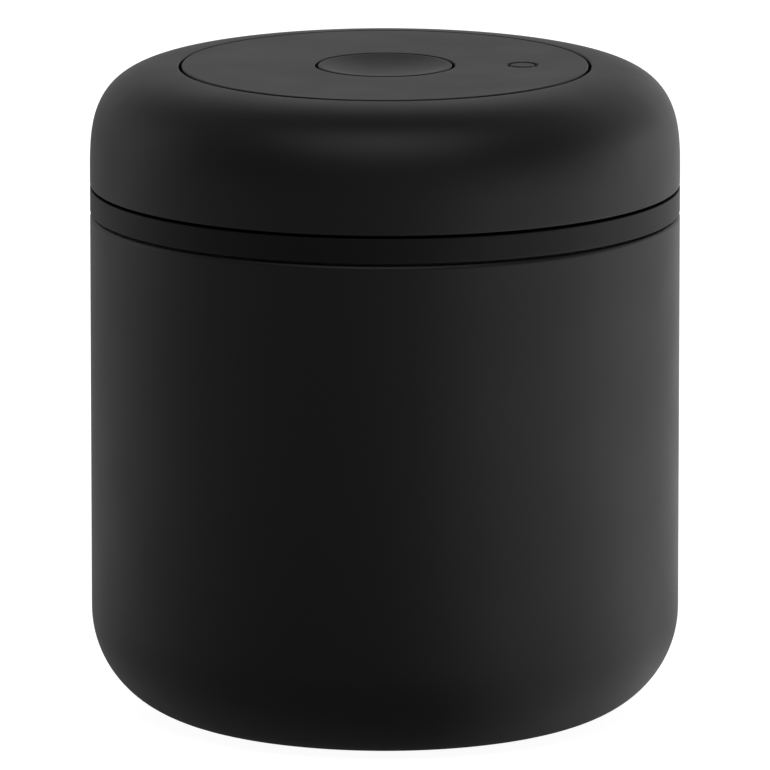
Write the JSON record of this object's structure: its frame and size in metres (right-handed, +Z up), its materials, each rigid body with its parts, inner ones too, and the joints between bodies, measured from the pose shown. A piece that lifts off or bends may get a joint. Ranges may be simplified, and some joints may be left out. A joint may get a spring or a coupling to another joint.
{
  "type": "vacuum canister",
  "caption": "Round metal food canister with a domed twist lid that pumps out its own air, a thumb release button in the middle and a small vacuum indicator pin.",
  "frame": {"origin": "centre of the ring that the can stands on", "axes": "+Z up along the can's axis, +X from the axis towards the vacuum indicator pin, which is to the right in the picture"},
  "size_m": [0.118, 0.118, 0.1313],
  "materials": {
    "coated_steel": "fine matte black powder coat on drawn steel",
    "soft_plastic": "matte black moulded plastic with a fine spark-eroded texture",
    "collar_plastic": "smoother satin black moulded plastic",
    "inner_plastic": "dark grey moulded plastic",
    "white_acetal": "natural white sliding plastic",
    "seal_rubber": "grey food-grade silicone rubber",
    "bright_steel": "bright stainless steel",
    "filter_felt": "off-white felt filter"
  },
  "bodies": {
    "canister": {"canister_body": "coated_steel"},
    "lid": {"lid_base": "collar_plastic", "lid_gasket": "seal_rubber", "glide_ring": "white_acetal", "deck_plate": "inner_plastic", "deck_screw_1": "bright_steel", "deck_screw_2": "bright_steel", "deck_screw_3": "bright_steel", "top_disc": "soft_plastic", "intake_valve": "seal_rubber", "filter_cover": "inner_plastic", "filter_pad": "filter_felt", "button_spring": "bright_steel", "indicator_spring": "bright_steel"},
    "cap": {"twist_cap": "soft_plastic", "cam_sleeve": "white_acetal", "cap_screw_1": "bright_steel", "cap_screw_2": "bright_steel", "cap_screw_3": "bright_steel", "cap_screw_4": "bright_steel"},
    "piston": {"pump_piston": "white_acetal", "follower_pin_1": "bright_steel", "follower_pin_2": "bright_steel", "follower_pin_3": "bright_steel", "piston_seal": "seal_rubber", "tube_seal": "seal_rubber", "exhaust_valve": "seal_rubber"},
    "button": {"release_button": "soft_plastic", "valve_stem": "bright_steel", "valve_washer": "seal_rubber"},
    "indicator": {"indicator_pin": "soft_plastic", "indicator_seal": "seal_rubber"}
  },
  "joints": [
    {"name": "lid_lift", "type": "slide", "parent": "canister", "child": "lid", "axis": [0, 0, 1], "range_m": [0, 0.08]},
    {"name": "cap_twist", "type": "hinge", "parent": "lid", "child": "cap", "pos_m": [0, 0, 0.1075], "axis": [0, 0, 1], "range_deg": [0, 70]},
    {"name": "piston_stroke", "type": "slide", "parent": "lid", "child": "piston", "axis": [0, 0, 1], "range_m": [0, 0.006]},
    {"name": "button_press", "type": "slide", "parent": "lid", "child": "button", "axis": [0, 0, -1], "range_m": [0, 0.002], "stiffness_N_per_m": 500, "springref_m": -0.002, "deforming": ["button_spring"]},
    {"name": "indicator_drop", "type": "slide", "parent": "lid", "child": "indicator", "axis": [0, 0, -1], "range_m": [0, 0.002], "stiffness_N_per_m": 150, "springref_m": -0.002, "deforming": ["indicator_spring"]}
  ],
  "couplings": [
    {"joint": "piston_stroke", "follows": "cap_twist", "m_per_rad": 0.004911}
  ]
}
